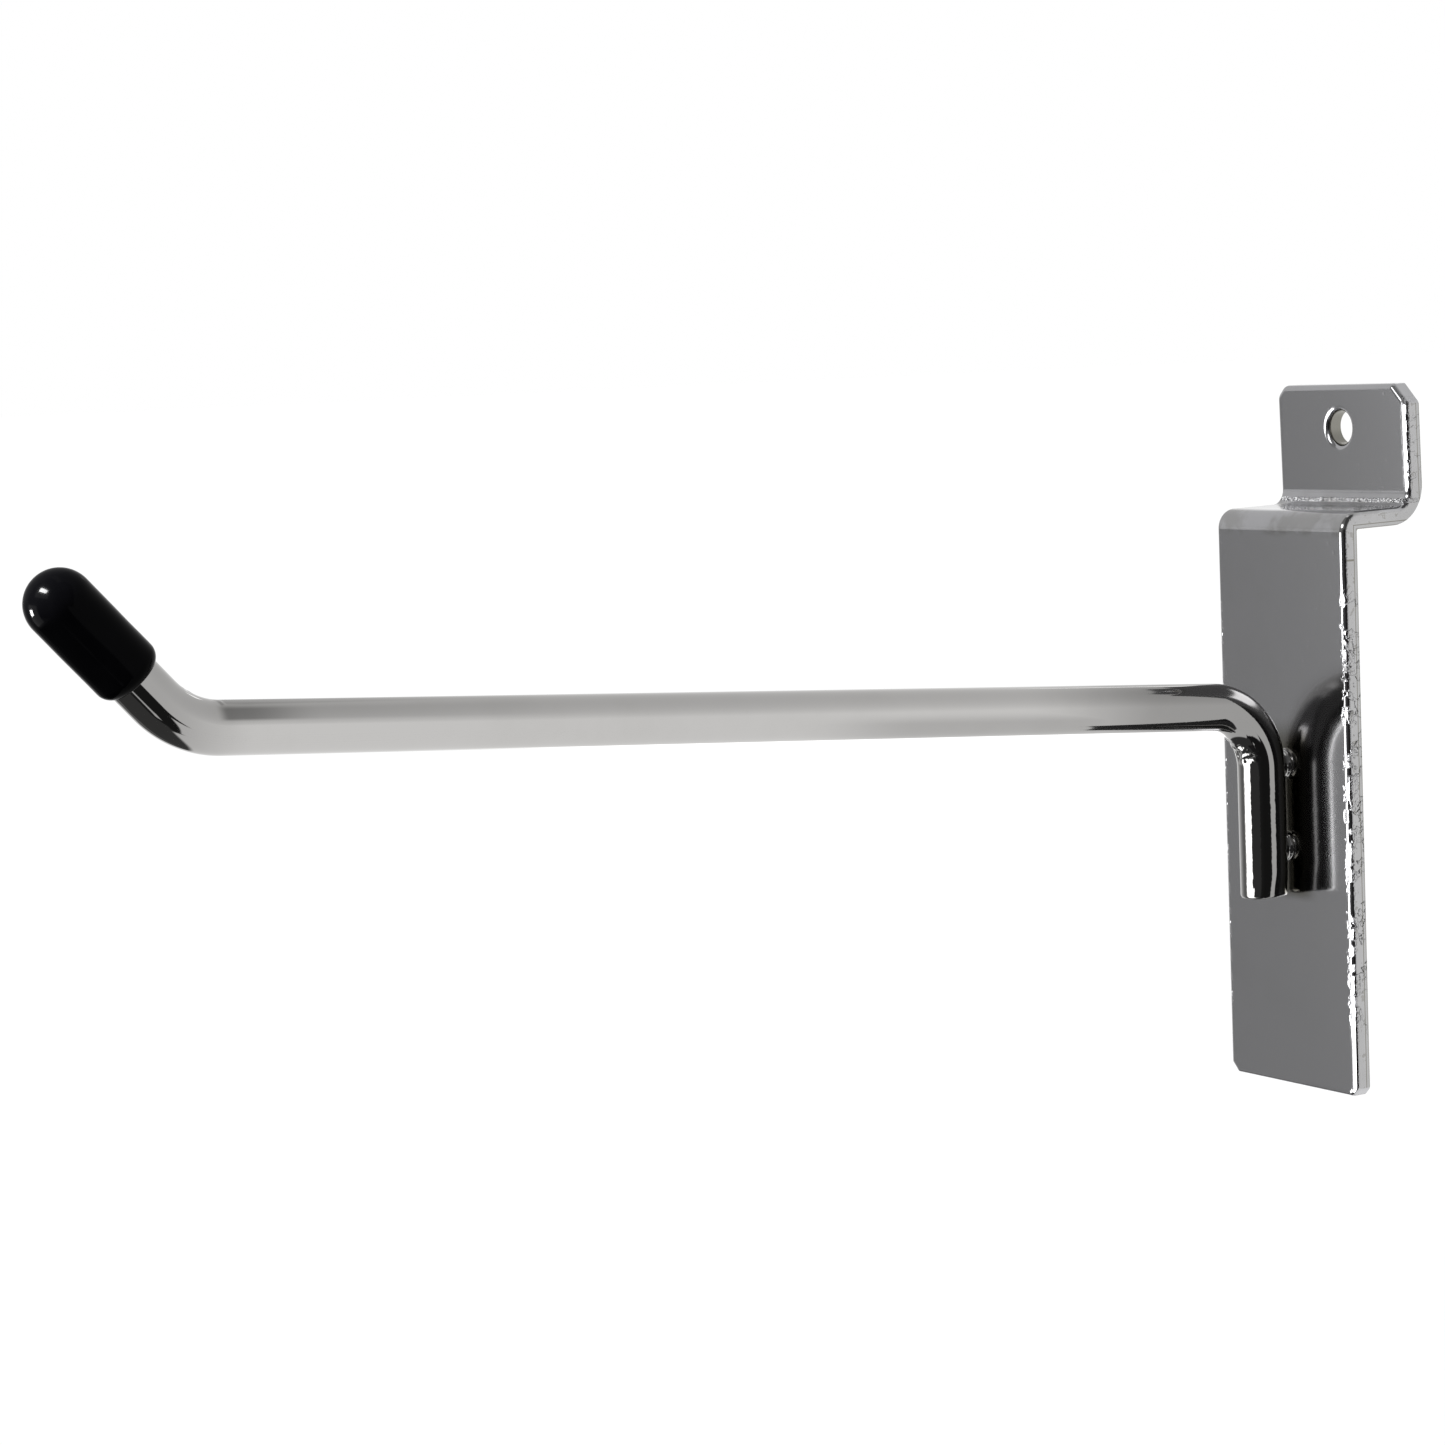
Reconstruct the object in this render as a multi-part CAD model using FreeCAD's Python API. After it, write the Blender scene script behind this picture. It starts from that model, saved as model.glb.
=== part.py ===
import FreeCAD, Part
import math
import os

# Slatwall hook: a folded back plate, a bent wire arm, the two weld nuggets that
# join them, and a soft cap on the arm's upturned tip. Sizes are millimetres.
# The origin is the inner corner under the plate's shoulder, in the middle of its
# width, where the hook sits on the edge of the slat. +Y runs into the wall, +Z is
# up, +X runs along the wall and the arm points along -Y.

# Back plate: a strip of sheet steel, folded twice
plate_width = 24.9
sheet = 2.25
plate_drop = 72.2            # from the seat corner down to the lower edge
groove_gap = 8.85            # from the wall face to the front of the lip
lip_rise = 15.5              # from the top of the step to the top of the lip
step_climb = 1.2             # degrees, the step rises towards the lip
lip_lean = 1.3               # degrees, the lip leans back towards the arm
shoulder_inner_radius = 0.3
foot_inner_radius = 1.9
heel_outer_radius = 5.0      # behind the foot of the lip, where the fold draws the sheet thinner
edge_roll = 0.7              # rolled-over rim left by blanking, on the front side

# Corner cuts of the strip, left (-X) and right (+X); the blends soften the points they leave
top_left_cut = 1.35
top_left_blend = 1.2
top_right_cut = 2.5
top_right_blend = 0.7
bottom_left_cut = 1.25
bottom_left_blend = 0.4
bottom_right_cut = 1.0
bottom_right_blend = 0.8

# Round hole through the lip
hole_diameter = 4.4
hole_below_top = 5.55
hole_aside = -0.4            # from the middle of the width, along X

# Wire: a leg on the plate, a bend, a rising arm, a bend and an upturned tip
wire_diameter = 6.1
weld_gap = 0.8               # between the leg and the front of the plate
leg_end_height = 25.0        # above the plate's lower edge
arm_height = 49.35           # of the arm's axis above the lower edge, at the plate's front
arm_tilt = 3.85              # degrees above level
arm_reach = 152.9            # from the plate's front to the corner of the tip
upper_inner_radius = 5.4
tip_turn = 43.6              # degrees, from the arm's line to the tip's line
tip_inner_radius = 8.3
wire_end_round = 0.4

# Weld nuggets between the leg and the plate
nugget_diameter = 4.2
nugget_waist = 3.6           # at the plate and at the wire, where the bead is drawn in
lower_nugget_height = 6.2    # above the end of the leg
nugget_spacing = 10.7

# Soft cap pushed over the tip
cap_length = 15.4
cap_wall = 0.88
cap_setback = 3.4            # from the end of the tip's bend to the mouth of the cap
cap_end_wall = 2.0
cap_end_space = 0.5          # air left between the wire's end and the cap
cap_bore_round = 0.6         # at the closed end of the bore
cap_mouth_round = 1.7
cap_mouth_land = 0.12        # narrow flat ring round the mouth

# Slack allowed when an edge or a face is looked up by its place
slack = 1e-4


def inPlane(y, z):
    """Return a point of the hook's middle plane."""
    return FreeCAD.Vector(0, y, z)


def heading(degrees):
    """Return the unit direction that many degrees from +Y towards +Z."""
    angle = math.radians(degrees)
    return inPlane(math.cos(angle), math.sin(angle))


def offsetCorner(corner, before, after, distance):
    """Return the corner of two lines moved sideways by a distance, to their left."""
    left_before = inPlane(-before.z, before.y)
    left_after = inPlane(-after.z, after.y)
    share = distance / (1 + left_before.dot(left_after))
    return corner + (left_before + left_after) * share


def roundedPath(corners, radii):
    """Return edges along the corners, with an arc of the given radius at each inner one."""
    edges = []
    start = corners[0]
    for index, radius in enumerate(radii):
        corner = corners[index + 1]
        back = (corners[index] - corner).normalize()
        ahead = (corners[index + 2] - corner).normalize()
        half = back.getAngle(ahead) / 2
        arc_start = corner + back * (radius / math.tan(half))
        arc_end = corner + ahead * (radius / math.tan(half))
        inward = (back + ahead).normalize()
        arc_middle = corner + inward * (radius / math.sin(half) - radius)
        edges.append(Part.LineSegment(start, arc_start).toShape())
        edges.append(Part.Arc(arc_start, arc_middle, arc_end).toShape())
        start = arc_end
    edges.append(Part.LineSegment(start, corners[-1]).toShape())
    return edges


# Lines of the folded plate, seen from the side
up = heading(90)
along_step = heading(step_climb)
along_lip = heading(90 + lip_lean)
seat_corner = inPlane(0, 0)
shoulder_corner = offsetCorner(seat_corner, up, along_step, sheet)
plate_front = -sheet
plate_bottom = -plate_drop
foot_corner = shoulder_corner + along_step * ((groove_gap - shoulder_corner.y) / along_step.y)
heel_corner = offsetCorner(foot_corner, along_step, along_lip, -sheet)
lip_top_front = foot_corner + along_lip * (lip_rise / along_lip.z)
into_wall = inPlane(along_lip.z, -along_lip.y)
lip_top_back = lip_top_front + into_wall * sheet


def frontSide():
    """Return the edges of the side that faces the room, from the bottom to the lip's top."""
    corners = [inPlane(plate_front, plate_bottom), shoulder_corner, foot_corner, lip_top_front]
    return roundedPath(corners, [shoulder_inner_radius + sheet, foot_inner_radius])


def wallSide():
    """Return the edges of the side that faces the wall, from the bottom to the lip's top."""
    corners = [inPlane(0, plate_bottom), seat_corner, heel_corner, lip_top_back]
    return roundedPath(corners, [shoulder_inner_radius, heel_outer_radius])


def liesOn(path, shape):
    """Tell whether a face or an edge follows the path as seen from the side."""
    if isinstance(shape, Part.Face):
        low_u, high_u, low_v, high_v = shape.ParameterRange
        samples = [shape.valueAt((low_u + high_u) / 2, (low_v + high_v) / 2)]
    else:
        samples = [shape.valueAt(shape.FirstParameter), shape.valueAt(shape.LastParameter)]
    points = [Part.Vertex(inPlane(sample.y, sample.z)) for sample in samples]
    return all(path.distToShape(point)[0] < slack for point in points)


def thicknessEdges(solid, at, side, reach):
    """Return the edges through the sheet's thickness near one end of the strip, on one side of it."""
    found = []
    for edge in solid.Edges:
        middle = edge.CenterOfMass
        near = (inPlane(middle.y, middle.z) - at).Length < reach + slack
        runs_through = abs(edge.Vertexes[0].X - edge.Vertexes[-1].X) < slack
        if near and runs_through and middle.x * side > 0 and abs(edge.Length - sheet) < slack:
            found.append(edge)
    return found


def cutCorner(solid, at, side, size, blend):
    """Cut one corner of the strip and soften the two points that are left."""
    solid = solid.makeChamfer(size, thicknessEdges(solid, at, side, 0))
    return solid.makeFillet(blend, thicknessEdges(solid, at, side, size))


def backPlate():
    """The folded strip with its cut corners, its hole and its rolled front edges."""
    front = frontSide()
    wall = wallSide()
    lower = Part.LineSegment(inPlane(plate_front, plate_bottom), inPlane(0, plate_bottom)).toShape()
    upper = Part.LineSegment(lip_top_front, lip_top_back).toShape()
    outline = Part.Wire(Part.__sortEdges__(front + wall + [lower, upper]))
    strip = Part.Face(outline).extrude(FreeCAD.Vector(plate_width, 0, 0))
    strip.translate(FreeCAD.Vector(-plate_width / 2, 0, 0))
    strip = cutCorner(strip, upper.CenterOfMass, -1, top_left_cut, top_left_blend)
    strip = cutCorner(strip, upper.CenterOfMass, 1, top_right_cut, top_right_blend)
    strip = cutCorner(strip, lower.CenterOfMass, -1, bottom_left_cut, bottom_left_blend)
    strip = cutCorner(strip, lower.CenterOfMass, 1, bottom_right_cut, bottom_right_blend)
    path = Part.Wire(front)
    rim = []
    for edge in strip.Edges:
        faces = strip.ancestorsOfType(edge, Part.Face)
        facing = [face for face in faces if liesOn(path, face)]
        if liesOn(path, edge) and len(facing) == 1:
            rim.append(edge)
    strip = strip.makeFillet(edge_roll, rim)
    return pierceLip(strip)


def pierceLip(strip):
    """Punch the round hole through the lip and roll its front rim."""
    centre = lip_top_front - along_lip * hole_below_top
    centre.x = hole_aside
    punch = Part.makeCylinder(hole_diameter / 2, 3 * sheet, centre - into_wall * sheet, into_wall)
    strip = strip.cut(punch)
    rim = []
    for edge in strip.Edges:
        if edge.isClosed() and (edge.CenterOfMass - centre).Length < sheet / 2:
            rim.append(edge)
    return strip.makeFillet(edge_roll, rim)


# Line of the wire's axis, seen from the side
wire_radius = wire_diameter / 2
along_arm = heading(180 - arm_tilt)
along_tip = heading(180 - arm_tilt - tip_turn)
leg_axis = plate_front - weld_gap - wire_radius
leg_end = inPlane(leg_axis, plate_bottom + leg_end_height)
arm_at_plate = inPlane(plate_front, plate_bottom + arm_height)
bend_corner = arm_at_plate + along_arm * ((leg_axis - plate_front) / along_arm.y)
tip_corner = arm_at_plate + along_arm * (-arm_reach / along_arm.y)
tip_bend_radius = tip_inner_radius + wire_radius
tip_bend_end = tip_corner + along_tip * (tip_bend_radius * math.tan(math.radians(tip_turn) / 2))
cap_mouth = tip_bend_end + along_tip * cap_setback
wire_end = cap_mouth + along_tip * (cap_length - cap_end_wall - cap_end_space)


def hookWire():
    """The round bar, bent twice, with both cut ends slightly rounded."""
    corners = [leg_end, bend_corner, tip_corner, wire_end]
    path = Part.Wire(roundedPath(corners, [upper_inner_radius + wire_radius, tip_bend_radius]))
    section = Part.Wire(Part.makeCircle(wire_radius, leg_end, up))
    bar = path.makePipeShell([section], True, False)
    ends = []
    for edge in bar.Edges:
        if edge.isClosed() and min((edge.CenterOfMass - end).Length for end in (leg_end, wire_end)) < slack:
            ends.append(edge)
    return bar.makeFillet(wire_end_round, ends)


def tipCap():
    """The hollow cap, turned about the tip's line, with a soft mouth and a domed nose."""
    outer_radius = wire_radius + cap_wall
    away = inPlane(-along_tip.z, along_tip.y)

    def spot(along, out):
        return cap_mouth + along_tip * along + away * out

    # the mouth's rounding runs from the narrow land to the straight outside
    land_radius = wire_radius + cap_mouth_land
    round_out = outer_radius - cap_mouth_round
    round_in = math.acos((land_radius - round_out) / cap_mouth_round)
    mouth_depth = cap_mouth_round * math.sin(round_in)
    half_turn = round_in / 2
    mouth_middle = spot(mouth_depth - cap_mouth_round * math.sin(half_turn),
                        round_out + cap_mouth_round * math.cos(half_turn))

    # the nose is half a ball as wide as the cap
    dome_start = cap_length - outer_radius
    quarter = outer_radius * math.sqrt(0.5)
    dome_middle = spot(dome_start + quarter, quarter)

    # the bore's closed end is rounded, so that the wall stays thick beside the nose
    bore_depth = cap_length - cap_end_wall
    corner_in = cap_bore_round * (1 - math.sqrt(0.5))
    bore_corner = spot(bore_depth - corner_in, wire_radius - corner_in)
    outline = [
        Part.LineSegment(spot(0, wire_radius), spot(0, land_radius)),
        Part.Arc(spot(0, land_radius), mouth_middle, spot(mouth_depth, outer_radius)),
        Part.LineSegment(spot(mouth_depth, outer_radius), spot(dome_start, outer_radius)),
        Part.Arc(spot(dome_start, outer_radius), dome_middle, spot(cap_length, 0)),
        Part.LineSegment(spot(cap_length, 0), spot(bore_depth, 0)),
        Part.LineSegment(spot(bore_depth, 0), spot(bore_depth, wire_radius - cap_bore_round)),
        Part.Arc(spot(bore_depth, wire_radius - cap_bore_round), bore_corner,
                 spot(bore_depth - cap_bore_round, wire_radius)),
        Part.LineSegment(spot(bore_depth - cap_bore_round, wire_radius), spot(0, wire_radius)),
    ]
    section = Part.Face(Part.Wire([piece.toShape() for piece in outline]))
    return section.revolve(cap_mouth, along_tip, 360)


def weldNugget(height, wire):
    """A small bead between the plate and the leg, trimmed to the wire it is fused to."""
    centre = inPlane(plate_front, leg_end.z + height)
    span = weld_gap + wire_radius
    waist = nugget_waist / 2
    belly = nugget_diameter / 2
    foot = centre + up * waist
    middle = centre + inPlane(-weld_gap / 2, belly)
    neck = centre + inPlane(-weld_gap, waist)
    outline = [
        Part.LineSegment(centre, foot),
        Part.Arc(foot, middle, neck),
        Part.LineSegment(neck, centre + inPlane(-span, waist)),
        Part.LineSegment(centre + inPlane(-span, waist), centre + inPlane(-span, 0)),
        Part.LineSegment(centre + inPlane(-span, 0), centre),
    ]
    section = Part.Face(Part.Wire([piece.toShape() for piece in outline]))
    bead = section.revolve(centre, FreeCAD.Vector(0, 1, 0), 360)
    return bead.cut(wire)


wire = hookWire()
pieces = {
    "back_plate": backPlate(),
    "hook_wire": wire,
    "tip_cap": tipCap(),
    "lower_weld": weldNugget(lower_nugget_height, wire),
    "upper_weld": weldNugget(lower_nugget_height + nugget_spacing, wire),
}

os.makedirs("parts", exist_ok=True)
for name, shape in pieces.items():
    solid, = shape.Solids
    solid.exportStep("parts/" + name + ".step")
    print(name, solid.ShapeType, "valid", solid.isValid(), "volume", round(solid.Volume, 1))
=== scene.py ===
import bpy
from math import cos, radians, sin, sqrt, tan
from types import SimpleNamespace
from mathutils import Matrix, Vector


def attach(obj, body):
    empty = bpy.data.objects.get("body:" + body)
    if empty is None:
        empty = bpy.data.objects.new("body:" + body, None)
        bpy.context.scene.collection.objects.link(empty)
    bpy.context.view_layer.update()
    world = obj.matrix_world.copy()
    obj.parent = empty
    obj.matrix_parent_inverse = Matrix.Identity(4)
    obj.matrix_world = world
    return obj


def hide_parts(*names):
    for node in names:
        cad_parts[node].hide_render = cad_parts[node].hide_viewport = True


# Slatwall hook: a folded plate, a bent wire that is welded to it, and a black cap on the wire's tip.
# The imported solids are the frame. Pieces are sized in millimetres, patterns on them are placed in metres.

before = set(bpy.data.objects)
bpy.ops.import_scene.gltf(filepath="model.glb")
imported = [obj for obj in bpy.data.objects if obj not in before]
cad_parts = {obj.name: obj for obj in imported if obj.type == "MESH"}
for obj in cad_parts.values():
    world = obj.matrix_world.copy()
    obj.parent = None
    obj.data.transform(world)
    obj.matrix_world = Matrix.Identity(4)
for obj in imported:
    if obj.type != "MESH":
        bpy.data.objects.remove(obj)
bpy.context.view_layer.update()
mm = 0.001
plateFront = -2.25                # along Y, in millimetres; the seat corner of the plate is at 0
slack = 0.001                     # millimetres, where a point is found by its place
white = (1, 1, 1, 1)
black = (0, 0, 0, 1)
nodeGap = (220, 260)              # between the columns and the rows of a node tree
print("frame loaded")


def addNode(tree, kind, **settings):
    node = tree.nodes.new(kind)
    for key, value in settings.items():
        setattr(node, key, value)
    return node


# puts a value, or what another node gives, into a socket
def feed(tree, part, socket):
    if isinstance(part, bpy.types.NodeSocket):
        tree.links.new(part, socket)
    else:
        socket.default_value = part


# the same for sockets by name, with _ for a space
def feedAll(tree, node, **parts):
    for name, part in parts.items():
        feed(tree, part, node.inputs[name.replace("_", " ")])
    return node


def mathNode(tree, operation, *parts):
    node = addNode(tree, "ShaderNodeMath", operation=operation)
    for part, socket in zip(parts, node.inputs):
        feed(tree, part, socket)
    return node.outputs[0]


def chain(tree, operation, parts):
    result = parts[0]
    for part in parts[1:]:
        result = mathNode(tree, operation, result, part)
    return result


def product(tree, *parts):
    return chain(tree, "MULTIPLY", parts)


def total(tree, *parts):
    return chain(tree, "ADD", parts)


def largest(tree, *parts):
    return chain(tree, "MAXIMUM", parts)


def difference(tree, first, second):
    return mathNode(tree, "SUBTRACT", first, second)


# 0 at low, 1 at high, softly between; low may be the larger one
def rampNode(tree, source, low, high, lowValue=0.0, highValue=1.0):
    node = addNode(tree, "ShaderNodeMapRange", interpolation_type="SMOOTHSTEP")
    feedAll(tree, node, Value=source, From_Min=low, From_Max=high, To_Min=lowValue, To_Max=highValue)
    return node.outputs[0]


# 1 between lowFull and highFull, 0 below low and above high
def bandNode(tree, source, low, lowFull, highFull, high):
    return product(tree, rampNode(tree, source, low, lowFull), rampNode(tree, source, high, highFull))


# 1 within core of the middle, 0 beyond reach
def lineNode(tree, source, middle, core, reach):
    off = mathNode(tree, "ABSOLUTE", difference(tree, source, middle))
    return rampNode(tree, off, reach, core)


def noiseNode(tree, place, scale, detail, rough=0.5):
    node = addNode(tree, "ShaderNodeTexNoise")
    feedAll(tree, node, Vector=place, Scale=scale, Detail=detail, Roughness=rough)
    return node.outputs["Fac"]


def colourMix(tree, share, first, second, blend="MIX"):
    node = addNode(tree, "ShaderNodeMix", data_type="RGBA", blend_type=blend)
    for part, slot in ((share, 0), (first, 6), (second, 7)):       # 6 and 7 are its colour sockets
        feed(tree, part, node.inputs[slot])
    return node.outputs[2]


# a point's place on the piece
def placeNode(tree):
    return addNode(tree, "ShaderNodeTexCoord").outputs["Object"]


def splitPlace(tree, place):
    apart = addNode(tree, "ShaderNodeSeparateXYZ")
    feed(tree, place, apart.inputs[0])
    return apart.outputs


# sets each node one column to the left of what it feeds
def arrange(tree):
    column = {node.name: 0 for node in tree.nodes}
    links = [(link.from_node.name, link.to_node.name) for link in tree.links]
    for _ in column:
        for source, target in links:
            column[source] = max(column[source], column[target] + 1)
    rows = dict.fromkeys(column.values(), 0)
    for node in tree.nodes:
        step = column[node.name]
        node.location = (-nodeGap[0] * step, -nodeGap[1] * rows[step])
        rows[step] += 1


def newMaterial(name):
    material = bpy.data.materials.new(name)
    material.use_nodes = True
    material.node_tree.nodes.clear()
    return material, material.node_tree


def finishMaterial(material, shader):
    tree = material.node_tree
    output = addNode(tree, "ShaderNodeOutputMaterial")
    feed(tree, shader.outputs[0], output.inputs["Surface"])
    arrange(tree)
    return material


def newGroup(name, inputs, outputs):
    group = bpy.data.node_groups.new(name, "ShaderNodeTree")
    for label, kind, value in inputs:
        socket = group.interface.new_socket(name=label, in_out="INPUT", socket_type="NodeSocket" + kind)
        socket.default_value = value
    for label, kind in outputs:
        group.interface.new_socket(name=label, in_out="OUTPUT", socket_type="NodeSocket" + kind)
    return group, addNode(group, "NodeGroupInput"), addNode(group, "NodeGroupOutput")


def deselectAll():
    if bpy.context.mode != "OBJECT":
        bpy.ops.object.mode_set(mode="OBJECT")
    bpy.ops.object.select_all(action="DESELECT")


# selects the vertices whose place, in millimetres, passes the test, and stays in edit mode
def selectWhere(piece, test):
    bpy.ops.object.mode_set(mode="OBJECT")
    mesh = piece.data
    mesh.polygons.foreach_set("select", [False] * len(mesh.polygons))
    mesh.edges.foreach_set("select", [False] * len(mesh.edges))
    mesh.vertices.foreach_set("select", [bool(test(vertex.co / mm)) for vertex in mesh.vertices])
    bpy.ops.object.mode_set(mode="EDIT")


# joins doubled points, turns the faces outwards and leaves edit mode
def closeMesh():
    bpy.ops.mesh.select_all(action="SELECT")
    bpy.ops.mesh.remove_doubles(threshold=slack * mm)
    bpy.ops.mesh.normals_make_consistent(inside=False)
    bpy.ops.object.mode_set(mode="OBJECT")


cameraSet = {
    "place": (0.379245, -0.321005, 0.025633),
    "turn": (84.43787, 2.29120, 58.09441),      # degrees
    "lens": 95.4423,
    "sensor": 36,
    "near": 0.01,
}


def makeCamera(spec):
    data = bpy.data.cameras.new("camera")
    data.lens = spec["lens"]
    data.sensor_width = spec["sensor"]
    data.clip_start = spec["near"]
    camera = bpy.data.objects.new("camera", data)
    camera.location = spec["place"]
    camera.rotation_euler = [radians(angle) for angle in spec["turn"]]
    bpy.context.scene.collection.objects.link(camera)
    bpy.context.scene.camera = camera


makeCamera(cameraSet)
bpy.context.scene.view_settings.view_transform = "Standard"
print("camera set")


studio = {
    "centre": (0, -0.03, -0.03),
    "tentGlow": 1.0,
    "floorHeight": -0.14,
    "floorSize": 30,
    "floorColour": 0.78,
    "floorGlow": 0.25,                          # for the camera only
}

# what the chrome sees: azimuth, elevation, width, height (degrees), distance, light,
# and how far it fades in from its left, right, lower and upper edge (share of its size)
cards = {
    "ceilingBack": (180, 50, 136, 84, 3.4, 0.45, (0.12, 0.12, 1.0, 0.05)),
    "skyLeft": (-82, 34, 76, 80, 3.3, 0.60, (0.1, 0.1, 0.04, 0.05)),
    "skyFront": (3, 38, 112, 86, 3.2, 0.22, (0.05, 0.05, 0.04, 0.05)),
    "skyRight": (85, 36, 58, 82, 3.1, 0.09, (0.1, 0.06, 0.04, 0.05)),
    "greyFront": (-74, -21.5, 58, 61, 2.9, 0.27, (0.8, 0.03, 0.1, 0.2)),
    "dimFlag": (26, -14, 72, 44, 2.8, 0.07, (0.03, 0.03, 0.1, 0.1)),
    "blackFlag": (47, -27, 92, 84, 2.7, 0.02, (0.62, 0.03, 0.05, 0.1)),
    "lowCard": (-18, -66, 112, 40, 2.6, 0.075, (0.1, 0.1, 0.1, 0.1)),
    "softKey": (-23.5, -21.5, 37, 47, 2.5, 4.5, (0.04, 0.04, 0.1, 0.04)),
    "highBox": (4, 29, 46, 18, 2.4, 4.0, (0.1, 0.1, 0.1, 0.1)),
    "leftGlow": (-125, -20, 16, 28, 2.3, 1.8, (0.2, 0.2, 0.3, 0.2)),
    "streak": (-142, 29, 9, 10, 2.3, 1.9, (0.2, 0.2, 0.2, 0.2)),
    "tipStreak": (57, -48.5, 8, 8, 2.2, 0.9, (0.25, 0.25, 0.25, 0.25)),
    "tipWhite": (106, -48, 30, 36, 2.25, 1.0, (0.05, 0.05, 0.05, 0.05)),
}


# a direction from the object; azimuth 0 is -Y, 90 is +X
def awayFrom(azimuth, elevation):
    turn, rise = radians(azimuth), radians(elevation)
    return Vector((sin(turn) * cos(rise), -cos(turn) * cos(rise), sin(rise)))


# the length that an angle spans at a distance
def spanAt(distance, degrees):
    return 2 * distance * tan(radians(degrees / 2))


def cardMaterial(name, light, fades):
    material, tree = newMaterial(name)
    across, upwards, _ = splitPlace(tree, placeNode(tree))
    edges = ((across, -1), (across, 1), (upwards, -1), (upwards, 1))
    shown = product(tree, *(rampNode(tree, way, edge, edge * (1 - 2 * fade))
                            for (way, edge), fade in zip(edges, fades)))
    clear = addNode(tree, "ShaderNodeBsdfTransparent")
    glow = feedAll(tree, addNode(tree, "ShaderNodeEmission"), Color=white, Strength=light)
    mix = addNode(tree, "ShaderNodeMixShader")
    for part, socket in zip((shown, clear.outputs[0], glow.outputs[0]), mix.inputs):
        feed(tree, part, socket)
    return finishMaterial(material, mix)


def studioCard(name, azimuth, elevation, width, height, distance, light, fades):
    away = awayFrom(azimuth, elevation)
    deselectAll()
    bpy.ops.mesh.primitive_plane_add(size=2)
    card = bpy.context.object
    card.name = name
    card.location = Vector(studio["centre"]) + away * distance
    card.rotation_euler = away.to_track_quat("Z", "Y").to_euler()
    card.scale = (spanAt(distance, width) / 2, spanAt(distance, height) / 2, 1)
    card.data.materials.append(cardMaterial(name, light, fades))
    card.visible_camera = False
    card.visible_diffuse = False
    card.visible_shadow = False


def floorMaterial():
    material, tree = newMaterial("floorPaper")
    grey = (studio["floorColour"],) * 3 + (1,)
    matte = feedAll(tree, addNode(tree, "ShaderNodeBsdfDiffuse"), Color=grey)
    rays = addNode(tree, "ShaderNodeLightPath")
    seen = product(tree, rays.outputs["Is Camera Ray"], studio["floorGlow"])
    glow = feedAll(tree, addNode(tree, "ShaderNodeEmission"), Strength=seen)
    both = addNode(tree, "ShaderNodeAddShader")
    feed(tree, matte.outputs[0], both.inputs[0])
    feed(tree, glow.outputs[0], both.inputs[1])
    return finishMaterial(material, both)


def makeFloor():
    deselectAll()
    bpy.ops.mesh.primitive_plane_add(size=studio["floorSize"], location=(0, 0, studio["floorHeight"]))
    floor = bpy.context.object
    floor.name = "floor"
    floor.data.materials.append(floorMaterial())
    floor.visible_glossy = False         # the chrome sees the white tent below, and its dark card


def makeStudio():
    world = bpy.data.worlds.new("tent")
    bpy.context.scene.world = world
    world.use_nodes = True
    tree = world.node_tree
    feedAll(tree, tree.nodes["Background"], Color=white, Strength=studio["tentGlow"])
    for name, card in cards.items():
        studioCard(name, *card)
    makeFloor()


makeStudio()
print("studio set,", len(cards), "cards")


# noises as scale, detail and roughness; haze shows over this part of its noise
platingPattern = {
    "hazeNoise": (90, 4, 0.6), "hazeShown": (0.42, 0.68),
    "waveNoise": (260, 1),
    "grainNoise": (2600, 2),
    "pitScale": 700, "pitShape": (0.06, 0.2, -1.0, 0.0),      # off its middle from and to, height from and to
}


# clouding, waves, grain and pits of plated steel; the heights are micrometres
def platingGroup(spec):
    group, start, end = newGroup(
        "platedSteel",
        [("Tint", "Color", (0.56, 0.56, 0.56, 1)), ("Haze Tint", "Color", (0.5, 0.5, 0.5, 1)),
         ("Low Roughness", "Float", 0.05), ("High Roughness", "Float", 0.1),
         ("Waves", "Float", 1.0), ("Grain", "Float", 1.0), ("Pits", "Float", 1.0)],
        [("Color", "Color"), ("Roughness", "Float"), ("Height", "Float")])
    given = start.outputs
    place = placeNode(group)
    haze = rampNode(group, noiseNode(group, place, *spec["hazeNoise"]), *spec["hazeShown"])
    tone = colourMix(group, haze, given["Tint"], given["Haze Tint"])
    rough = feedAll(group, addNode(group, "ShaderNodeMapRange"), Value=haze,
                    To_Min=given["Low Roughness"], To_Max=given["High Roughness"])
    waves = product(group, noiseNode(group, place, *spec["waveNoise"]), given["Waves"])
    grain = product(group, noiseNode(group, place, *spec["grainNoise"]), given["Grain"])
    spots = feedAll(group, addNode(group, "ShaderNodeTexVoronoi"), Vector=place, Scale=spec["pitScale"])
    pit = rampNode(group, spots.outputs["Distance"], *spec["pitShape"])
    height = total(group, waves, grain, product(group, pit, given["Pits"]))
    feedAll(group, end, Color=tone, Roughness=rough.outputs[0], Height=height)
    arrange(group)
    return group


plating = platingGroup(platingPattern)


# the group in a material, with that material's own values; gives its colour, roughness and height
def platedFinish(tree, values):
    finish = addNode(tree, "ShaderNodeGroup", node_tree=plating)
    for key, value in values.items():
        finish.inputs[key].default_value = value
    return [finish.outputs[label] for label in ("Color", "Roughness", "Height")]


# the height is in micrometres
def chromeShader(tree, colour, rough, height):
    bump = feedAll(tree, addNode(tree, "ShaderNodeBump"), Strength=1.0, Distance=mm * mm, Height=height)
    return feedAll(tree, addNode(tree, "ShaderNodeBsdfPrincipled"), Metallic=1.0, Base_Color=colour,
                   Roughness=rough, Normal=bump.outputs["Normal"])


plateFinish = {
    "Tint": (0.565, 0.565, 0.58, 1), "Haze Tint": (0.52, 0.52, 0.532, 1),
    "Low Roughness": 0.12, "High Roughness": 0.14, "Waves": 0.5, "Grain": 0.004, "Pits": 3.0,
}

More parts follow.
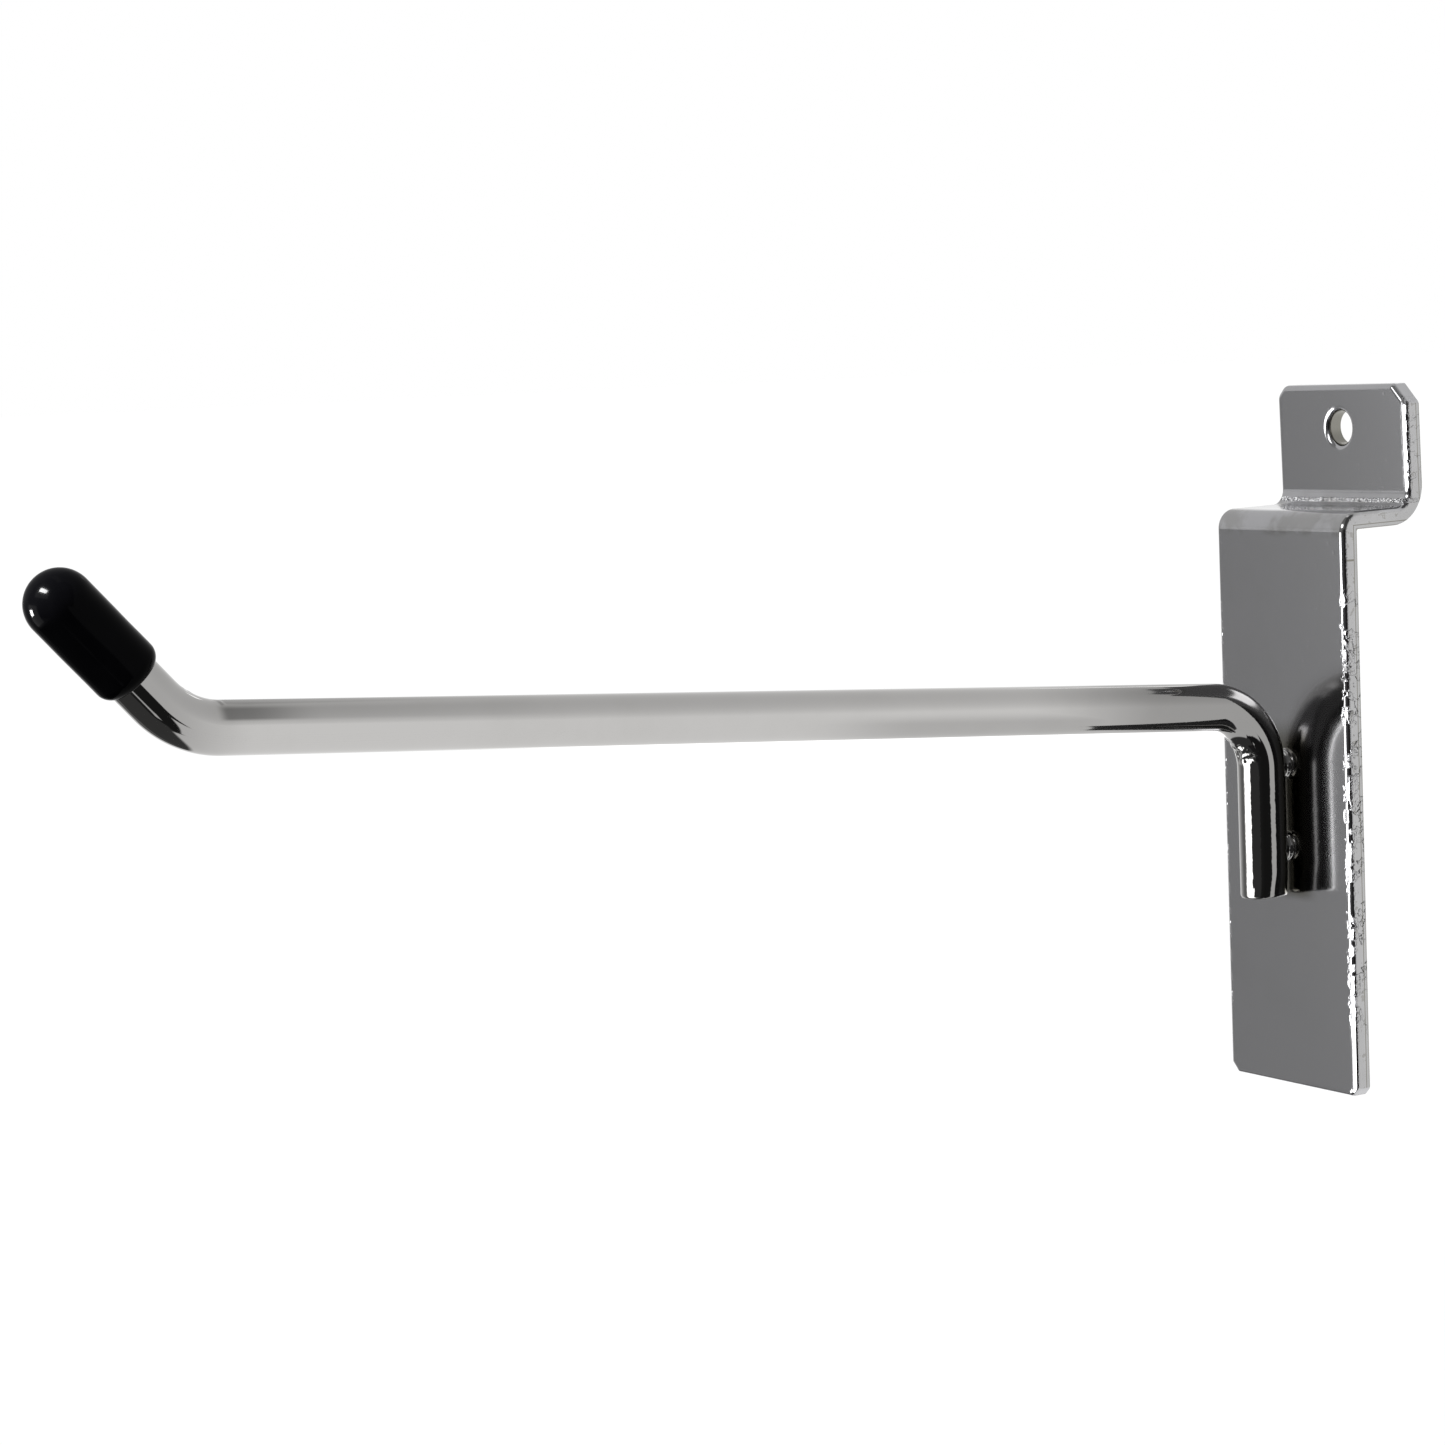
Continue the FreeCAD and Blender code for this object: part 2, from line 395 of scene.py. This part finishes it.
# what blanking, folding and punching left on the plate, and painted shade behind the leg and in the hole:
# metres in the frame, heights in micrometres, noises as scale, detail and roughness, and shades as how much
# of the dark tint is taken on
plateEdges = {
    # slopes of the step and the lip, and where the lip's wall side crosses Z = 0
    "stepRise": 0.021, "lipLean": 0.0227, "lipBack": 0.01115,
    # one dark tint for worn cut faces and step stains, and for the painted shade behind the leg and in the
    # hole
    "wearAndShadeTint": (0.12, 0.1, 0.0, 1), "cutRoughness": 0.12,
    # the near edge is torn along the drop, and a little on the lip
    "ragged": (-0.066, -0.061, -0.010, -0.006), "lipRagged": (0.004, 0.006), "lipShare": 0.35,
    "raggedNoise": (1000, 3, 0.65), "dashNoise": (520, 2, 0.6), "dashShown": (0.49, 0.54),
    "tight": (-0.010, -0.006, 0.0035, 0.0055),      # no margin or flat rim at the shoulder and the step
    # shallow drawn-in margin beside the rims, from X to X, and within this depth behind the front
    "margin": (0.0114, 0.0119), "marginFront": (0.0012, 0.0008), "marginHeight": -45,
    "wander": 0.0018, "wanderSide": (0.0, 0.001),
    # flattened rim on the near side
    "burr": (0.0116, 0.0117), "burrDepth": 0.00024, "burrWander": 0.0004, "burrHeight": 192,
    # cut faces: worn rim at the wall side, break line, folded-in seam and torn patches
    "side": (0.01238, 0.01244), "wallRim": (0.00018, 0.00008, 0.17, 0.42),
    "breakLine": 0.00052, "breakSoft": (-0.00005, 0.0001), "breakWidth": (0.00003, 0.0001), "breakShade": 0.6,
    "seam": -0.00385, "seamWidth": (0.00008, 0.0002), "seamShade": 0.6,
    "cutNoise": (800, 3, 0.6), "cutPatches": (0.52, 0.64), "patchShade": 0.38, "sidePits": -14,
    # wall of the punched hole: its middle, the radii between which it starts, and its darkening, partly a
    # worn cut face and partly painted shade in the hole
    "holeX": -0.0004, "holeZ": 0.01242, "holeWall": (0.00236, 0.00223), "holeShade": 0.6,
    # painted shade on the plate's front behind the leg, round the welds
    "legShadeWide": (0.0062, 0.0026), "legShadeBand": (-0.0482, -0.0465, -0.028, -0.024),
    "legShadeFront": (-0.0019, -0.0021), "paintedLegShade": 0.6,
    # cloudy drying stains on the step
    "cloudNoise": (240, 3, 0.6), "cloudShown": (0.42, 0.62),
    "cloudBand": (-0.0013, -0.0003, 0.0028, 0.0042), "cloudShade": 0.2,
    # crinkled skin in the fold at the foot of the lip: slanted teeth per metre along X and Z
    "crease": 0.0031, "creaseWidth": (0.0002, 0.0003), "creaseWaves": 0.0003,
    "creaseTeeth": (1700, -1250), "creaseUneven": 2.0, "creaseHeight": 320,
}


# depth below the wall side of the folded sheet
def sheetDepth(tree, y, z, spec):
    overStep = difference(tree, z, product(tree, y, spec["stepRise"]))
    hangs = largest(tree, product(tree, y, -1.0), overStep)
    leaning = total(tree, y, product(tree, z, spec["lipLean"]))
    return mathNode(tree, "MINIMUM", hangs, difference(tree, spec["lipBack"], leaning))


# 1 where the near edge is fully torn
def tornPlaces(tree, z, spec):
    lip = product(tree, rampNode(tree, z, *spec["lipRagged"]), spec["lipShare"])
    return largest(tree, bandNode(tree, z, *spec["ragged"]), lip)


# a point's place, how far it is from the middle, the wall side and the front, a noise around 0,
# and how torn the near edge is there
def platePlaces(tree, spec):
    place = placeNode(tree)
    x, y, z = splitPlace(tree, place)
    depth = sheetDepth(tree, y, z, spec)
    return SimpleNamespace(
        place=place, x=x, y=y, z=z, depth=depth,
        aside=mathNode(tree, "ABSOLUTE", x),
        behind=largest(tree, difference(tree, -plateFront * mm, depth), 0.0),
        spread=difference(tree, noiseNode(tree, place, *spec["raggedNoise"]), 0.5),
        torn=tornPlaces(tree, z, spec))


# the drawn-in margins and the near rim
def rimHeight(tree, at, spec):
    loose = difference(tree, 1.0, bandNode(tree, at.z, *spec["tight"]))
    shreds = noiseNode(tree, at.place, *spec["dashNoise"])
    dashes = largest(tree, difference(tree, 1.0, at.torn), rampNode(tree, shreds, *spec["dashShown"]))
    near = rampNode(tree, at.x, *spec["wanderSide"])
    wander = product(tree, at.spread, at.torn, near, spec["wander"])
    margin = rampNode(tree, total(tree, at.aside, wander), *spec["margin"])
    front = rampNode(tree, at.behind, *spec["marginFront"])
    drawnIn = product(tree, margin, loose, at.torn, dashes, front, spec["marginHeight"])
    # the near rim stays flat longer than a round one and then drops sharply
    shaken = product(tree, at.spread, at.torn)
    reach = mathNode(tree, "MULTIPLY_ADD", shaken, spec["burrWander"], spec["burrDepth"])
    flat = mathNode(tree, "DIVIDE", mathNode(tree, "MINIMUM", at.behind, reach), spec["burrDepth"])
    rim = product(tree, flat, rampNode(tree, at.x, *spec["burr"]), loose, dashes, spec["burrHeight"])
    return total(tree, drawnIn, rim)


# where the cut faces are, how worn they are, and their pits
def cutFaces(tree, at, spec):
    side = rampNode(tree, at.aside, *spec["side"])
    sheared = rampNode(tree, at.depth, *(spec["breakLine"] + off for off in spec["breakSoft"]))
    edgeLine = lineNode(tree, at.depth, spec["breakLine"], *spec["breakWidth"])
    seam = product(tree, lineNode(tree, at.z, spec["seam"], *spec["seamWidth"]), sheared)
    rough = noiseNode(tree, at.place, *spec["cutNoise"])
    patches = product(tree, rampNode(tree, rough, *spec["cutPatches"]), sheared)
    worn = largest(tree, rampNode(tree, at.depth, *spec["wallRim"]),
                   product(tree, edgeLine, spec["breakShade"]),
                   product(tree, seam, spec["seamShade"]),
                   product(tree, patches, spec["patchShade"]))
    return side, product(tree, worn, side), product(tree, patches, side, spec["sidePits"])


def holeWall(tree, at, spec):
    # the hole's wall, darkened partly as a worn cut face and partly as painted shade in the hole
    offX = difference(tree, at.x, spec["holeX"])
    offZ = difference(tree, at.z, spec["holeZ"])
    squares = total(tree, mathNode(tree, "POWER", offX, 2.0), mathNode(tree, "POWER", offZ, 2.0))
    return rampNode(tree, mathNode(tree, "SQRT", squares), *spec["holeWall"])


def paintedLegShade(tree, at, spec):
    # painted shade: the plate's front darkened behind the wire leg, between the welds
    aside = rampNode(tree, at.aside, *spec["legShadeWide"])
    front = rampNode(tree, at.y, *spec["legShadeFront"])
    return product(tree, aside, bandNode(tree, at.z, *spec["legShadeBand"]), front, spec["paintedLegShade"])


def cloudShade(tree, at, spec):
    clouds = rampNode(tree, noiseNode(tree, at.place, *spec["cloudNoise"]), *spec["cloudShown"])
    return product(tree, clouds, bandNode(tree, at.z, *spec["cloudBand"]), spec["cloudShade"])


def creaseHeight(tree, at, spec):
    wavy = total(tree, at.z, product(tree, at.spread, spec["creaseWaves"]))
    fold = lineNode(tree, wavy, spec["crease"], *spec["creaseWidth"])
    teethX, teethZ = spec["creaseTeeth"]
    steps = total(tree, product(tree, at.x, teethX), product(tree, at.z, teethZ),
                  product(tree, at.spread, spec["creaseUneven"]))
    teeth = difference(tree, 0.5, mathNode(tree, "FRACT", steps))
    return product(tree, fold, teeth, spec["creaseHeight"])


def plateMaterial(spec):
    material, tree = newMaterial("plateChrome")
    tint, rough, height = platedFinish(tree, plateFinish)
    at = platePlaces(tree, spec)
    side, sideShade, pits = cutFaces(tree, at, spec)
    wall = holeWall(tree, at, spec)
    height = total(tree, height, rimHeight(tree, at, spec), pits, creaseHeight(tree, at, spec))
    # the darkening takes in worn cut faces and step stains, and painted shade in the hole and behind the leg
    shade = largest(tree, sideShade, product(tree, wall, spec["holeShade"]), paintedLegShade(tree, at, spec),
                    cloudShade(tree, at, spec))
    colour = colourMix(tree, shade, tint, spec["wearAndShadeTint"], "MULTIPLY")
    rough = total(tree, rough, product(tree, largest(tree, side, wall), spec["cutRoughness"]))
    return finishMaterial(material, chromeShader(tree, colour, rough, height))


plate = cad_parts["back_plate"]
plate.data.materials.clear()
plate.data.materials.append(plateMaterial(plateEdges))
print("plate finished")


def finishPiece(piece, name, material, node, smoothAngle):
    deselectAll()
    piece.name = name
    piece.data.name = name
    piece.select_set(True)
    bpy.context.view_layer.objects.active = piece
    bpy.ops.object.transform_apply(location=True, rotation=True, scale=True)
    bpy.ops.object.shade_smooth_by_angle(angle=radians(smoothAngle))
    piece.data.materials.clear()
    piece.data.materials.append(material)
    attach(piece, "root")
    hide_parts(node)
    return piece


def extrudeBy(way, length, times):
    step = way * length * mm / times
    for _ in range(times):
        bpy.ops.mesh.extrude_region_move(TRANSFORM_OT_translate={"value": step})


def spinAbout(centre, angle, steps):
    bpy.ops.mesh.spin(steps=steps, angle=radians(angle), axis=(1, 0, 0), center=centre * mm)


markGrain = {"depth": 1, "contrast": 2.0}


# soft lumps and dents: a vertex group round a spot, and a Displace on it
def addMark(piece, label, spot, reach, height, grain):
    group = piece.vertex_groups.new(name=label)
    middle = Vector(spot)
    for vertex in piece.data.vertices:
        share = 1 - (vertex.co / mm - middle).length / reach
        if share > 0:
            group.add([vertex.index], share * share * (3 - 2 * share), "REPLACE")
    lump = piece.modifiers.new(label, "DISPLACE")
    lump.vertex_group = label
    lump.strength = height * mm
    lump.mid_level = 0
    if grain:
        texture = bpy.data.textures.new(label, "CLOUDS")
        texture.noise_scale = grain * mm
        texture.noise_depth = markGrain["depth"]
        texture.contrast = markGrain["contrast"]
        lump.texture = texture
        lump.texture_coords = "LOCAL"
        lump.mid_level = 0.5
    bpy.context.view_layer.objects.active = piece
    bpy.ops.object.modifier_apply(modifier=lump.name)


# the bar follows straight lines that meet in two corners; a bend's radius is that of the bar's middle
wireSet = {
    "radius": 3.05, "sides": 128, "smoothAngle": 35,
    "gap": 0.8,                                    # between the plate and the leg
    "legEnd": -47.2, "legSteps": 30,
    "upperBend": 8.45, "upperSteps": 76,
    "armHeight": -22.85, "armReach": 152.9,        # at the plate's front, and from there to the tip's corner
    "armTilt": 3.85, "armSteps": 60,
    "tipBend": 11.35, "tipTurn": 43.6, "tipSteps": 36,
    "tipLength": 16.3, "tipEndSteps": 14,
    "endRound": 0.4, "endSegments": 4,
    # forming marks: place, reach, height, grain (0 for a plain dent)
    "marks": [
        ((0.4, -9.8, -28.4), 2.6, 0.36, 0.9),
        ((-1.8, -9.9, -27.0), 2.3, 0.36, 0.8),
        ((2.0, -8.9, -29.0), 1.3, 0.16, 0.6),
        ((3.0, -5.2, -47.2), 3.8, -0.34, 0),
        ((1.0, -8.8, -45.8), 1.8, 0.05, 0.7),
        ((0.4, -154.4, -8.0), 1.5, 0.16, 0.9),
        ((1.2, -150.6, -9.9), 2.2, 0.07, 0.8),
        ((0.6, -161.6, -11.0), 1.0, 0.16, 0),
    ],
}

wireFinish = {
    "Tint": (0.54, 0.532, 0.522, 1), "Haze Tint": (0.525, 0.517, 0.506, 1),
    "Low Roughness": 0.05, "High Roughness": 0.08, "Waves": 1.2, "Grain": 0.02, "Pits": 1.2,
}

# darkenings of the bar's colour: painted shade near the plate, on the arm's underside there and towards the
# cap, and a darker band along the arm's top before the tip; metres along Y or above the arm's middle line;
# the shades are how much they darken, the heights micrometres
wirePlaces = {
    "nearPlateEnd": (-0.046, -0.022), "nearPlateShade": 0.42,
    "lowerEnd": (-0.080, -0.060), "lowerSide": (0.0003, -0.0012), "lowerShade": 0.25,
    "tipEnd": (-0.147, -0.159), "tipShade": 0.34,
    "topBandEnd": (-0.1522, -0.1508), "topBandFade": (-0.139, -0.149), "topBandShade": 0.4,
    "faintFade": (-0.100, -0.145), "faintShade": 0.13,
    "topBandLow": (0.0008, 0.0012), "topBandHigh": (0.0021, 0.0026, 1.0, 0.3),
    "drawnStretch": (1, 0.05, 1), "drawnNoise": (1500, 2), "drawnHeight": 0.4,
    "ragNoise": (1700, 2), "ragEnd": (-0.028, -0.034), "ragHeight": 14.0,      # along Z, on the leg
}


# a direction off the wall, degrees above level
def heading(degrees):
    return Vector((0, -cos(radians(degrees)), sin(radians(degrees))))


# a point on the arm's middle line, by its distance from the plate's front
def armPoint(spec, reach):
    return Vector((0, plateFront - reach, spec["armHeight"] + reach * tan(radians(spec["armTilt"]))))


# the corners of the bar's middle line, and how far from its corner each bend starts
def wireCorners(spec):
    upper = armPoint(spec, spec["gap"] + spec["radius"])
    upperCut = spec["upperBend"] * tan(radians(90 - spec["armTilt"]) / 2)
    tip = armPoint(spec, spec["armReach"])
    tipCut = spec["tipBend"] * tan(radians(spec["tipTurn"]) / 2)
    return upper, upperCut, tip, tipCut


def wireMaterial(spec):
    material, tree = newMaterial("wireChrome")
    tint, rough, height = platedFinish(tree, wireFinish)
    place = placeNode(tree)
    _, alongY, alongZ = splitPlace(tree, place)
    slope = tan(radians(wireSet["armTilt"]))
    axisHeight = armPoint(wireSet, plateFront).z * mm              # where the arm's line crosses Y = 0
    above = total(tree, alongZ, mathNode(tree, "MULTIPLY_ADD", alongY, slope, -axisHeight))
    # painted shade: the bar darkened near the plate, and more on the arm's underside there
    weld = product(tree, rampNode(tree, alongY, *spec["nearPlateEnd"]), spec["nearPlateShade"])
    lower = product(tree, rampNode(tree, alongY, *spec["lowerEnd"]),
                    rampNode(tree, above, *spec["lowerSide"]), spec["lowerShade"])
    # painted shade on the bar towards the cap
    tip = product(tree, rampNode(tree, alongY, *spec["tipEnd"]), spec["tipShade"])
    # a darker band along the arm's top before the tip, with a faint tail towards the plate
    strong = product(tree, rampNode(tree, alongY, *spec["topBandFade"]), spec["topBandShade"])
    faint = product(tree, rampNode(tree, alongY, *spec["faintFade"]), spec["faintShade"])
    topBand = product(tree, total(tree, strong, faint), rampNode(tree, above, *spec["topBandLow"]),
                    rampNode(tree, above, *spec["topBandHigh"]), rampNode(tree, alongY, *spec["topBandEnd"]))
    shades = (largest(tree, weld, lower), tip, topBand)
    kept = product(tree, *(difference(tree, 1.0, shade) for shade in shades))
    colour = colourMix(tree, difference(tree, 1.0, kept), tint, black, "MULTIPLY")
    stretched = feedAll(tree, addNode(tree, "ShaderNodeMapping"), Vector=place, Scale=spec["drawnStretch"])
    drawn = product(tree, noiseNode(tree, stretched.outputs[0], *spec["drawnNoise"]), spec["drawnHeight"])
    rags = product(tree, noiseNode(tree, place, *spec["ragNoise"]), rampNode(tree, alongZ, *spec["ragEnd"]),
                   spec["ragHeight"])
    return finishMaterial(material, chromeShader(tree, colour, rough, total(tree, height, drawn, rags)))


def buildWire(spec):
    deselectAll()
    upper, upperCut, tip, tipCut = wireCorners(spec)
    tilt, lean = spec["armTilt"], spec["armTilt"] + spec["tipTurn"]
    bpy.ops.mesh.primitive_circle_add(vertices=spec["sides"], radius=spec["radius"] * mm, fill_type="NOTHING",
                                      location=(0, upper.y * mm, spec["legEnd"] * mm))
    wire = bpy.context.object
    bpy.ops.object.transform_apply(location=True)
    bpy.ops.object.mode_set(mode="EDIT")
    bpy.ops.mesh.select_all(action="SELECT")
    extrudeBy(heading(90), upper.z - upperCut - spec["legEnd"], spec["legSteps"])
    upperStart = upper - heading(90) * upperCut
    spinAbout(upperStart + heading(0) * spec["upperBend"], tilt - 90, spec["upperSteps"])
    extrudeBy(heading(tilt), (tip - upper).length - upperCut - tipCut, spec["armSteps"])
    tipStart = tip - heading(tilt) * tipCut
    spinAbout(tipStart + heading(tilt + 90) * spec["tipBend"], spec["tipTurn"], spec["tipSteps"])
    extrudeBy(heading(lean), spec["tipLength"], spec["tipEndSteps"])
    bpy.ops.mesh.edge_face_add()                                   # end inside the cap
    selectWhere(wire, lambda spot: spot.z < spec["legEnd"] + slack)
    bpy.ops.mesh.edge_face_add()                                   # cut end of the leg
    bpy.ops.mesh.bevel(offset=spec["endRound"] * mm, segments=spec["endSegments"], affect="EDGES")
    closeMesh()
    for number, mark in enumerate(spec["marks"]):
        addMark(wire, "mark" + str(number), *mark)
    return finishPiece(wire, "bentWire", wireMaterial(wirePlaces), "hook_wire",
                       spec["smoothAngle"])


wirePiece = buildWire(wireSet)
print("wire built,", len(wirePiece.data.polygons), "faces")


weldSet = {
    "sides": 48, "smoothAngle": 60,
    "overLegEnd": 6.2, "spacing": 10.7,
    # distance from the plate and radius
    "rings": [(0.0, 2.02), (0.05, 1.86), (0.15, 1.9), (0.28, 2.0), (0.42, 2.04), (0.58, 1.99), (0.75, 1.87),
              (0.95, 1.78), (1.2, 1.74), (1.36, 1.72)],
    "lumps": 0.12, "grain": 1.6, "lumpsOut": 0.5, "lumpsReach": 3.4,
}

weldFinish = {
    "Tint": (0.55, 0.545, 0.54, 1), "Haze Tint": (0.45, 0.445, 0.44, 1),
    "Low Roughness": 0.05, "High Roughness": 0.1, "Waves": 3.0, "Grain": 0.03, "Pits": 1.0,
}


def weldMaterial():
    material, tree = newMaterial("weldChrome")
    return finishMaterial(material, chromeShader(tree, *platedFinish(tree, weldFinish)))


def buildWeld(name, height, material, spec):
    deselectAll()
    # the circle starts at 1 mm, so that it is scaled by a ring's radius
    bpy.ops.mesh.primitive_circle_add(vertices=spec["sides"], radius=mm, fill_type="NGON",
                                      rotation=(radians(90), 0, 0))
    weld = bpy.context.object
    bpy.ops.object.transform_apply(rotation=True)
    centre = (0, plateFront * mm, height * mm)
    weld.location = centre
    bpy.ops.object.transform_apply(location=True)
    bpy.ops.object.mode_set(mode="EDIT")
    bpy.ops.mesh.select_all(action="SELECT")
    rings = spec["rings"]
    about = {"center_override": centre, "constraint_axis": (True, False, True)}
    bpy.ops.transform.resize(value=(rings[0][1],) * 3, **about)
    for before, after in zip(rings, rings[1:]):
        bpy.ops.mesh.extrude_region_move(
            TRANSFORM_OT_translate={"value": (0, (before[0] - after[0]) * mm, 0)})
        bpy.ops.transform.resize(value=(after[1] / before[1],) * 3, **about)
    closeMesh()
    addMark(weld, name, (0, plateFront - spec["lumpsOut"], height), spec["lumpsReach"], spec["lumps"],
            spec["grain"])
    return finishPiece(weld, name + "Bead", material, name, spec["smoothAngle"])


weldChrome = weldMaterial()
lowerHeight = wireSet["legEnd"] + weldSet["overLegEnd"]
buildWeld("lower_weld", lowerHeight, weldChrome, weldSet)
buildWeld("upper_weld", lowerHeight + weldSet["spacing"], weldChrome, weldSet)
print("welds built")


capSet = {
    "radius": 3.92, "bore": 3.05, "length": 15.37, "endWall": 2.0,
    "boreRound": 0.6, "boreRoundMiddle": 0.29,      # the middle point of its rounding, share of the radius
    "mouthRound": 1.7, "land": 0.12,
    "setback": 3.4,                                 # from the end of the tip's bend to the mouth
    "sides": 96, "mouthSteps": 10, "wallSteps": 16, "domeSteps": 18, "smoothAngle": 50,
    "lumps": 0.04, "grain": 5.0, "lumpsReach": 1.6,     # reach as a share of the length
}

vinyl = {
    "dustNoise": (350, 4, 0.6),
    "dark": (0.0003, 0.0003, 0.0004, 1), "pale": (0.0008, 0.0008, 0.001, 1),
    "roughness": (0.3, 0.7, 0.1, 0.16),             # dust from and to, roughness from and to
    "skin": 0.000003,                               # metres, the height of its grain
    "index": 1.45, "shine": 0.025,
}

# small lamps that light the vinyl cap alone: azimuth, elevation, width, height (degrees), distance, power
capLamps = {
    "capLampLow": (-33, -15, 11, 12, 1.2, 90.0),
    "capLampHigh": (3, 42, 24, 10, 1.2, 180.0),
}
capLampAim = (0, -0.165, -0.0015)                   # metres, the cap's middle


def vinylMaterial(spec):
    material, tree = newMaterial("capVinyl")
    place = placeNode(tree)
    dust = noiseNode(tree, place, *spec["dustNoise"])
    tone = colourMix(tree, dust, spec["dark"], spec["pale"])
    rough = rampNode(tree, dust, *spec["roughness"])
    skin = feedAll(tree, addNode(tree, "ShaderNodeBump"), Strength=1.0, Distance=spec["skin"], Height=dust)
    shader = feedAll(tree, addNode(tree, "ShaderNodeBsdfPrincipled"), Base_Color=tone, Roughness=rough,
                     IOR=spec["index"], Specular_IOR_Level=spec["shine"], Normal=skin.outputs["Normal"])
    return finishMaterial(material, shader)


# distance from the mouth and radius, from the bore's floor out over the mouth to the nose
def capProfile(spec):
    radius, bore, corner, rolled = (spec[key] for key in ("radius", "bore", "boreRound", "mouthRound"))
    closed = spec["length"] - spec["endWall"]
    cornerIn = spec["boreRoundMiddle"] * corner
    landEdge = bore + spec["land"]
    points = [(closed, bore - corner), (closed - cornerIn, bore - cornerIn), (closed - corner, bore),
              (0.0, bore), (0.0, landEdge)]
    inner = radius - rolled
    low = (landEdge - inner) / rolled
    depth = rolled * sqrt(1 - low * low)
    for step in range(1, spec["mouthSteps"] + 1):
        out = low + (1 - low) * sin(radians(90) * step / spec["mouthSteps"])
        points.append((depth - rolled * sqrt(max(0, 1 - out * out)), inner + rolled * out))
    straight = spec["length"] - radius
    for step in range(1, spec["wallSteps"] + 1):
        points.append((depth + (straight - depth) * step / spec["wallSteps"], radius))
    for step in range(1, spec["domeSteps"]):
        turn = radians(90) * step / spec["domeSteps"]
        points.append((straight + radius * sin(turn), radius * cos(turn)))
    return points


def buildCap(spec):
    deselectAll()
    profile = capProfile(spec)
    floorAt, floorRadius = profile[0]
    bpy.ops.mesh.primitive_circle_add(vertices=spec["sides"], radius=floorRadius * mm, fill_type="NGON",
                                      location=(0, 0, floorAt * mm))
    cap = bpy.context.object
    bpy.ops.object.transform_apply(location=True)
    bpy.ops.object.mode_set(mode="EDIT")
    bpy.ops.mesh.select_all(action="SELECT")
    bpy.ops.mesh.select_mode(type="EDGE")
    bpy.ops.mesh.region_to_loop()
    for before, after in zip(profile, profile[1:]):
        bpy.ops.mesh.extrude_edges_move(
            TRANSFORM_OT_translate={"value": (0, 0, (after[0] - before[0]) * mm)})
        share = after[1] / before[1]
        bpy.ops.transform.resize(value=(share, share, 1), center_override=(0, 0, 0))
    bpy.ops.mesh.extrude_edges_move(
        TRANSFORM_OT_translate={"value": (0, 0, (spec["length"] - profile[-1][0]) * mm)})
    bpy.ops.mesh.merge(type="CENTER")
    bpy.ops.mesh.select_mode(type="VERT")
    closeMesh()
    addMark(cap, "capLumps", (0, 0, spec["length"] / 2), spec["length"] * spec["lumpsReach"], spec["lumps"],
            spec["grain"])
    _, _, tip, tipCut = wireCorners(wireSet)
    lean = wireSet["armTilt"] + wireSet["tipTurn"]
    cap.rotation_euler = (radians(90 - lean), 0, 0)
    cap.location = (tip + heading(lean) * (tipCut + spec["setback"])) * mm
    return finishPiece(cap, "vinylCap", vinylMaterial(vinyl), "tip_cap", spec["smoothAngle"])


def lightCap(cap):
    lit = bpy.data.collections.new("litByCapLamps")
    lit.objects.link(cap)
    for name, (azimuth, elevation, width, height, distance, power) in capLamps.items():
        data = bpy.data.lights.new(name, "AREA")
        data.shape = "RECTANGLE"
        data.size = spanAt(distance, width)
        data.size_y = spanAt(distance, height)
        data.energy = power
        lamp = bpy.data.objects.new(name, data)
        away = awayFrom(azimuth, elevation)
        lamp.location = Vector(capLampAim) + away * distance
        lamp.rotation_euler = away.to_track_quat("Z", "Y").to_euler()
        lamp.visible_camera = False
        bpy.context.scene.collection.objects.link(lamp)
        lamp.light_linking.receiver_collection = lit


capPiece = buildCap(capSet)
lightCap(capPiece)
print("cap built,", len(capPiece.data.polygons), "faces")
